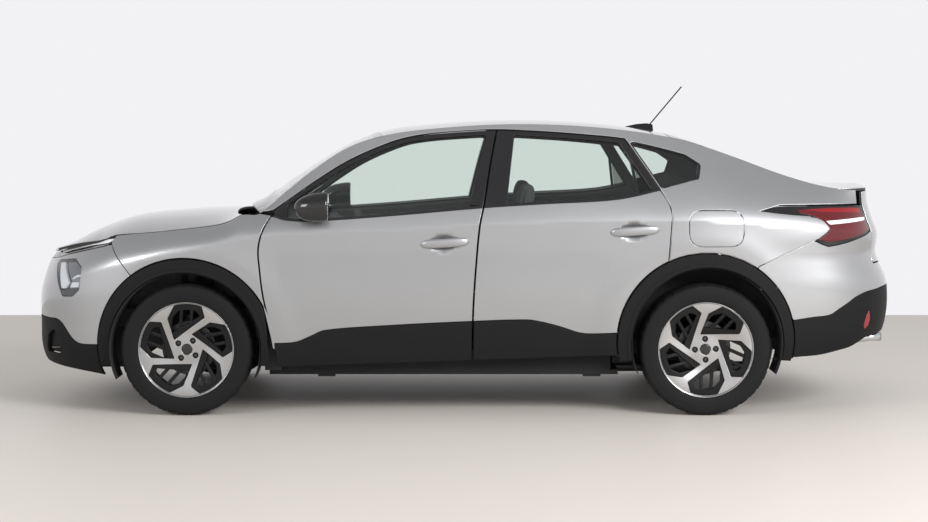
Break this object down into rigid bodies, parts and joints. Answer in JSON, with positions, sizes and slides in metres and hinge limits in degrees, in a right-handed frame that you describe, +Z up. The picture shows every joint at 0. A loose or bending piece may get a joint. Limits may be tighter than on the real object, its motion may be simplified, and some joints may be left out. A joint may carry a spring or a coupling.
{
  "type": "fastback crossover car",
  "caption": "Fastback crossover car with hinged doors, hood, trunk lid and fuel flap, steered front wheels and free-rolling wheels under black-clad arches.",
  "frame": {"origin": "on the ground under the middle of the car's bounding box", "axes": "+Z up, the front faces -X, the left side faces -Y"},
  "size_m": [4.6017, 2.0374, 1.7109],
  "materials": {
    "paint": "metallic silver",
    "black_trim": "grained",
    "glass": "tinted",
    "lamp_clear": "clear",
    "lamp_red": "gloss",
    "tyre": "matt",
    "alloy": "machined and gloss black",
    "chassis_metal": "satin",
    "underbody": "matt",
    "engine": "cast",
    "steel": "plain",
    "interior": "soft",
    "seat_cloth": "woven"
  },
  "bodies": {
    "body": {"floor": "underbody", "pillars": "underbody", "front_frame": "chassis_metal", "rear_axle": "chassis_metal", "engine": "engine", "wheel_liners": "black_trim", "front_bumper": "paint", "headlamps": "lamp_clear", "fenders": "paint", "cladding": "black_trim", "fixed_glass": "glass", "roof": "paint", "roof_rails": "paint", "quarter_panels": "paint", "tail_lamps": "lamp_red", "rear_bumper": "paint", "exhaust": "steel", "antenna": "black_trim", "dashboard": "interior", "front_seats": "seat_cloth", "rear_bench": "seat_cloth", "parcel_shelf": "interior"},
    "hood": {"hood": "paint"},
    "trunk_lid": {"trunk_lid": "paint"},
    "fuel_flap": {"fuel_flap": "paint"},
    "door_front_left": {"door_front_left": "paint", "glass_front_left": "glass", "mirror_left": "black_trim"},
    "door_front_right": {"door_front_right": "paint", "glass_front_right": "glass", "mirror_right": "black_trim"},
    "door_rear_left": {"door_rear_left": "paint", "glass_rear_left": "glass"},
    "door_rear_right": {"door_rear_right": "paint", "glass_rear_right": "glass"},
    "knuckle_left": {"knuckle_left": "chassis_metal"},
    "knuckle_right": {"knuckle_right": "chassis_metal"},
    "wheel_front_left": {"tyre_front_left": "tyre", "rim_front_left": "alloy"},
    "wheel_front_right": {"tyre_front_right": "tyre", "rim_front_right": "alloy"},
    "wheel_rear_left": {"tyre_rear_left": "tyre", "rim_rear_left": "alloy"},
    "wheel_rear_right": {"tyre_rear_right": "tyre", "rim_rear_right": "alloy"}
  },
  "joints": [
    {"name": "steer_left", "type": "hinge", "parent": "body", "child": "knuckle_left", "pos_m": [-1.427, -0.728, 0.34], "axis": [0, 0, 1], "range_deg": [-32, 32]},
    {"name": "steer_right", "type": "hinge", "parent": "body", "child": "knuckle_right", "pos_m": [-1.427, 0.728, 0.34], "axis": [0, 0, 1], "range_deg": [-32, 32]},
    {"name": "spin_front_left", "type": "hinge", "parent": "knuckle_left", "child": "wheel_front_left", "pos_m": [-1.427, -0.778, 0.34], "axis": [0, 1, 0], "continuous": true},
    {"name": "spin_front_right", "type": "hinge", "parent": "knuckle_right", "child": "wheel_front_right", "pos_m": [-1.427, 0.778, 0.34], "axis": [0, 1, 0], "continuous": true},
    {"name": "spin_rear_left", "type": "hinge", "parent": "body", "child": "wheel_rear_left", "pos_m": [1.243, -0.778, 0.34], "axis": [0, 1, 0], "continuous": true},
    {"name": "spin_rear_right", "type": "hinge", "parent": "body", "child": "wheel_rear_right", "pos_m": [1.243, 0.778, 0.34], "axis": [0, 1, 0], "continuous": true},
    {"name": "open_door_front_left", "type": "hinge", "parent": "body", "child": "door_front_left", "pos_m": [-0.972, -0.862, 0.655], "axis": [0, 0, -1], "range_deg": [0, 65]},
    {"name": "open_door_front_right", "type": "hinge", "parent": "body", "child": "door_front_right", "pos_m": [-0.972, 0.862, 0.655], "axis": [0, 0, 1], "range_deg": [0, 65]},
    {"name": "open_door_rear_left", "type": "hinge", "parent": "body", "child": "door_rear_left", "pos_m": [0.112, -0.86, 0.655], "axis": [0, 0, -1], "range_deg": [0, 68]},
    {"name": "open_door_rear_right", "type": "hinge", "parent": "body", "child": "door_rear_right", "pos_m": [0.112, 0.86, 0.655], "axis": [0, 0, 1], "range_deg": [0, 68]},
    {"name": "open_hood", "type": "hinge", "parent": "body", "child": "hood", "pos_m": [-1.165, 0, 0.993], "axis": [0, 1, 0], "range_deg": [0, 45]},
    {"name": "open_trunk_lid", "type": "hinge", "parent": "body", "child": "trunk_lid", "pos_m": [1.828, 0, 1.168], "axis": [0, -1, 0], "range_deg": [0, 70]},
    {"name": "open_fuel_flap", "type": "hinge", "parent": "body", "child": "fuel_flap", "pos_m": [1.085, -0.87293, 0.965], "axis": [0, 0, -1], "range_deg": [0, 75]}
  ],
  "couplings": [
    {"joint": "steer_right", "follows": "steer_left", "ratio": 1}
  ]
}
